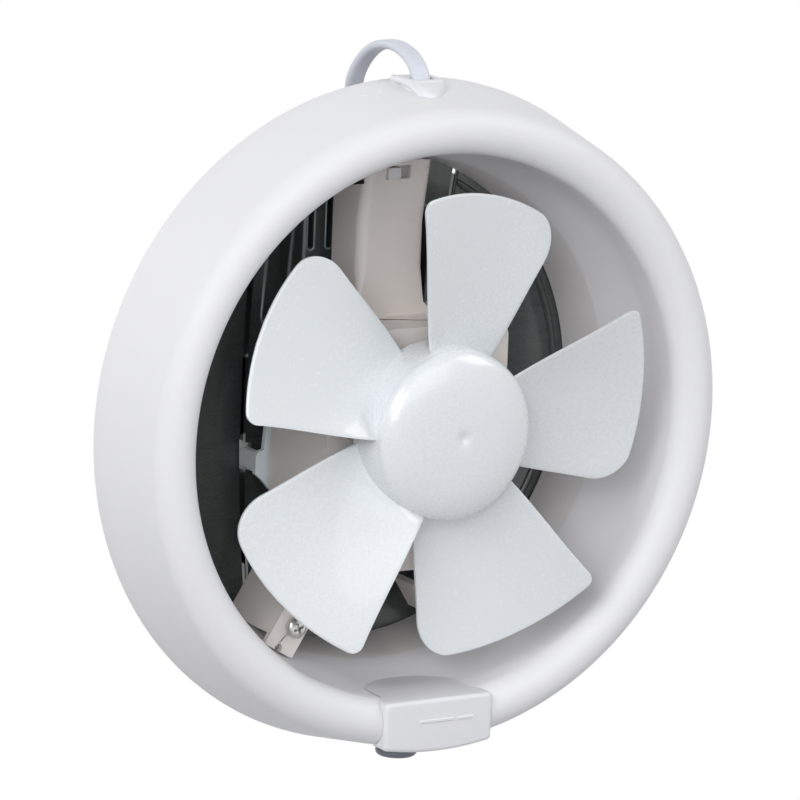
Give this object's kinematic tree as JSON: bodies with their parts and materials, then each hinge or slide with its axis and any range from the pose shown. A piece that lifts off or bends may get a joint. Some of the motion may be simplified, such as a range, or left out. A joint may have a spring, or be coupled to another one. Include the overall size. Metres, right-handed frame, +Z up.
{
  "type": "window exhaust fan",
  "caption": "Round window exhaust fan with a rolled white housing, bladed impeller, motor bracket, hinged dark shutter, pull cord and mains lead.",
  "frame": {"origin": "on the fan axis in the plane where the housing meets the window pane", "axes": "+Y along the fan axis in the direction of the air, out of the room; +X to the right and +Z up for someone facing the front"},
  "size_m": [0.2224, 0.1484, 0.2362],
  "materials": {
    "housing_white": "glossy moulded white",
    "duct_white": "satin white",
    "bracket_white": "satin white",
    "impeller_white": "glossy white",
    "milky_plastic": "milky, slightly translucent",
    "shutter_grey": "dark grey, satin",
    "slide_pale": "pale blue-white",
    "dark_plastic": "dark grey",
    "foam": "closed-cell foam",
    "steel": "zinc-plated",
    "lamination": "stacked laminations, varnished",
    "winding": "varnished copper wire",
    "bearing_alloy": "die-cast",
    "brass": "turned",
    "flex_sheath": "soft white sheath"
  },
  "bodies": {
    "frame": {"front_housing": "housing_white", "rear_duct": "duct_white", "window_gasket": "foam", "motor_bracket": "bracket_white", "foot_screw_left": "steel", "foot_screw_right": "steel", "motor_core": "lamination", "motor_coil": "winding", "bearing_strap_front": "bearing_alloy", "bearing_strap_rear": "bearing_alloy", "motor_bolt_left": "steel", "motor_bolt_right": "steel", "shutter_panel": "shutter_grey", "hinge_pin_left": "steel", "hinge_pin_right": "steel", "control_block": "milky_plastic", "cord_switch": "dark_plastic", "lead_clamp": "milky_plastic", "mains_lead": "flex_sheath", "lead_coil": "flex_sheath", "lead_tail": "flex_sheath", "lead_tie": "dark_plastic", "plug_body": "flex_sheath", "plug_pin_near": "steel", "plug_pin_far": "steel", "window_clip_upper_right": "steel", "clip_screw_upper_right": "steel", "window_clip_upper_left": "steel", "clip_screw_upper_left": "steel", "window_clip_lower_left": "steel", "clip_screw_lower_left": "steel", "window_clip_lower_right": "steel", "clip_screw_lower_right": "steel", "panel_screw_1": "steel", "panel_screw_2": "steel", "panel_screw_3": "steel", "panel_screw_4": "steel"},
    "rotor": {"motor_rotor": "lamination", "impeller": "impeller_white", "impeller_nut": "brass", "hub_cap": "impeller_white"},
    "leaf_right": {"shutter_leaf_right": "shutter_grey"},
    "leaf_left": {"shutter_leaf_left": "shutter_grey"},
    "slide": {"shutter_slide": "slide_pale"},
    "pull": {"pull_knob": "dark_plastic"}
  },
  "joints": [
    {"name": "impeller_spin", "type": "hinge", "parent": "frame", "child": "rotor", "pos_m": [0, 0, 0], "axis": [0, -1, 0], "continuous": true},
    {"name": "leaf_right_hinge", "type": "hinge", "parent": "frame", "child": "leaf_right", "pos_m": [0.0364, 0.0404, 0], "axis": [0, 0, 1], "range_deg": [0, 75], "stiffness_Nm_per_rad": 0.02, "springref_deg": -20.05},
    {"name": "leaf_left_hinge", "type": "hinge", "parent": "frame", "child": "leaf_left", "pos_m": [-0.0364, 0.0404, 0], "axis": [0, 0, 1], "range_deg": [-75.5, 0.5]},
    {"name": "shutter_slide_push", "type": "slide", "parent": "frame", "child": "slide", "axis": [0, 1, 0], "range_m": [-0.0001, 0.0051]},
    {"name": "pull_cord_travel", "type": "slide", "parent": "frame", "child": "pull", "axis": [0, 0, -1], "range_m": [-0.0001, 0.0071]}
  ],
  "couplings": [
    {"joint": "leaf_left_hinge", "follows": "leaf_right_hinge", "ratio": -1},
    {"joint": "shutter_slide_push", "follows": "leaf_right_hinge", "m_per_rad": 0.0038197},
    {"joint": "pull_cord_travel", "follows": "leaf_right_hinge", "m_per_rad": 0.0053476}
  ]
}
